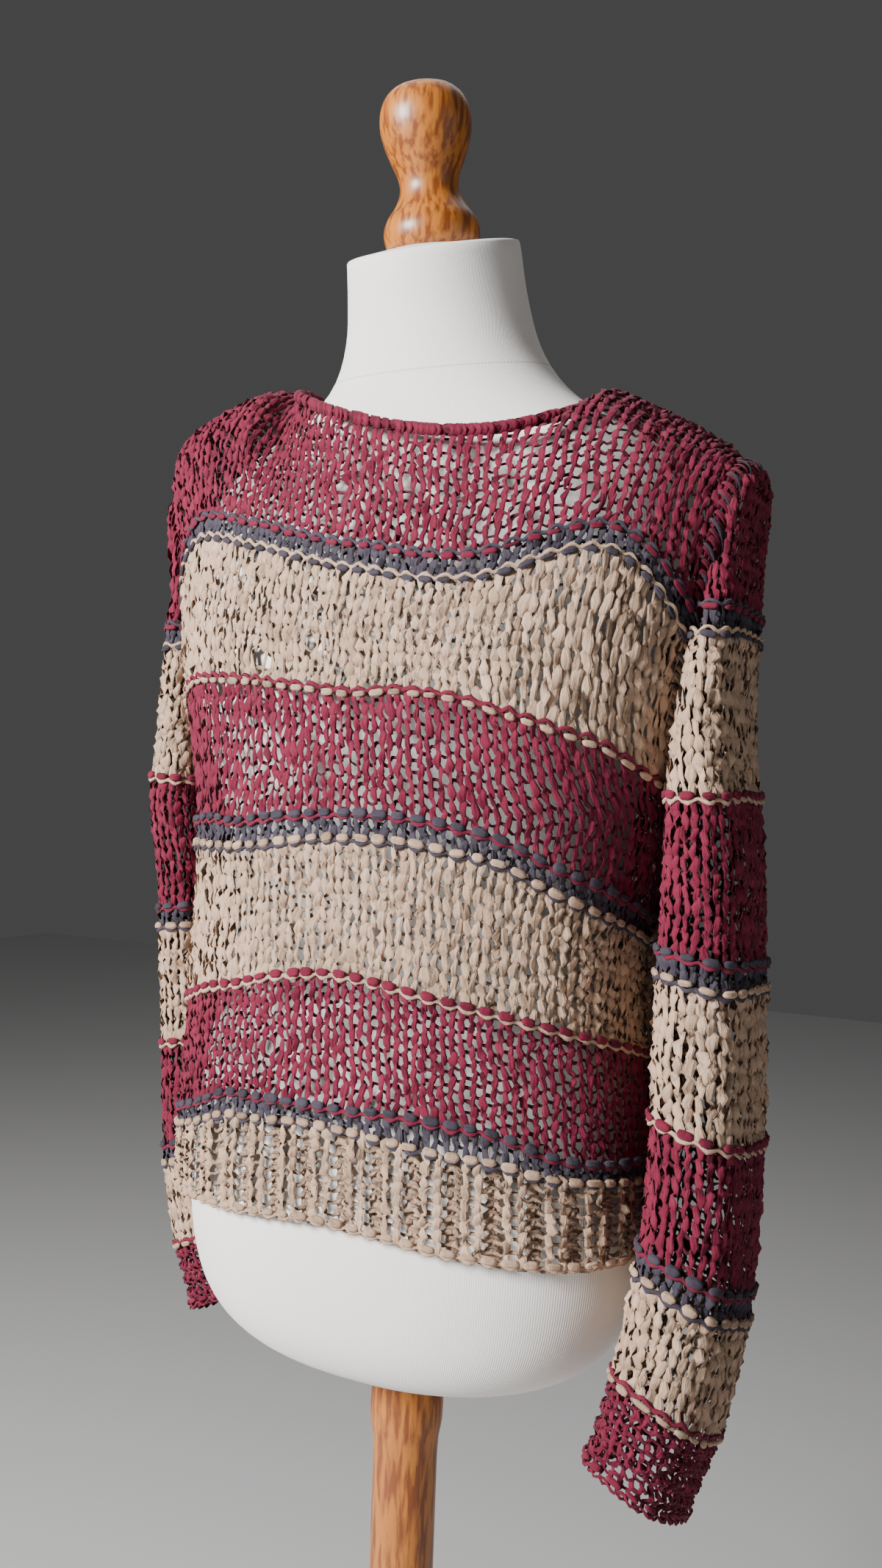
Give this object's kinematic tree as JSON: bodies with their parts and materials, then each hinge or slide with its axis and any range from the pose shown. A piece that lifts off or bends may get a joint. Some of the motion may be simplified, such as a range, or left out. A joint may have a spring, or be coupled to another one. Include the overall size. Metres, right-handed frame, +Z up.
{
  "type": "knit sweater on a dress form",
  "caption": "Long-sleeved striped open-knit sweater with ribbed hem, garter cuffs and a rolled neck edge, worn by a limbless dress form on a turned wooden stand.",
  "frame": {"origin": "on the floor, at the centre of the underside of the round base", "axes": "+Z up, -Y towards the wearer's front, +X towards the wearer's left"},
  "size_m": [0.4593, 0.33, 1.5578],
  "materials": {
    "jersey": "matte off-white ribbed jersey",
    "wood": "satin amber varnish",
    "knit_taupe": "matte crumpled ribbon yarn",
    "knit_burgundy": "matte crumpled ribbon yarn"
  },
  "bodies": {
    "root": {"form_torso": "jersey", "neck_knob": "wood", "stand_pole": "wood", "stand_base": "wood", "front_panel": "knit_taupe", "back_panel": "knit_taupe", "front_hem_rib": "knit_taupe", "back_hem_rib": "knit_taupe", "left_sleeve": "knit_burgundy", "right_sleeve": "knit_burgundy", "left_cuff": "knit_burgundy", "right_cuff": "knit_burgundy", "neck_band": "knit_burgundy"}
  },
  "joints": []
}
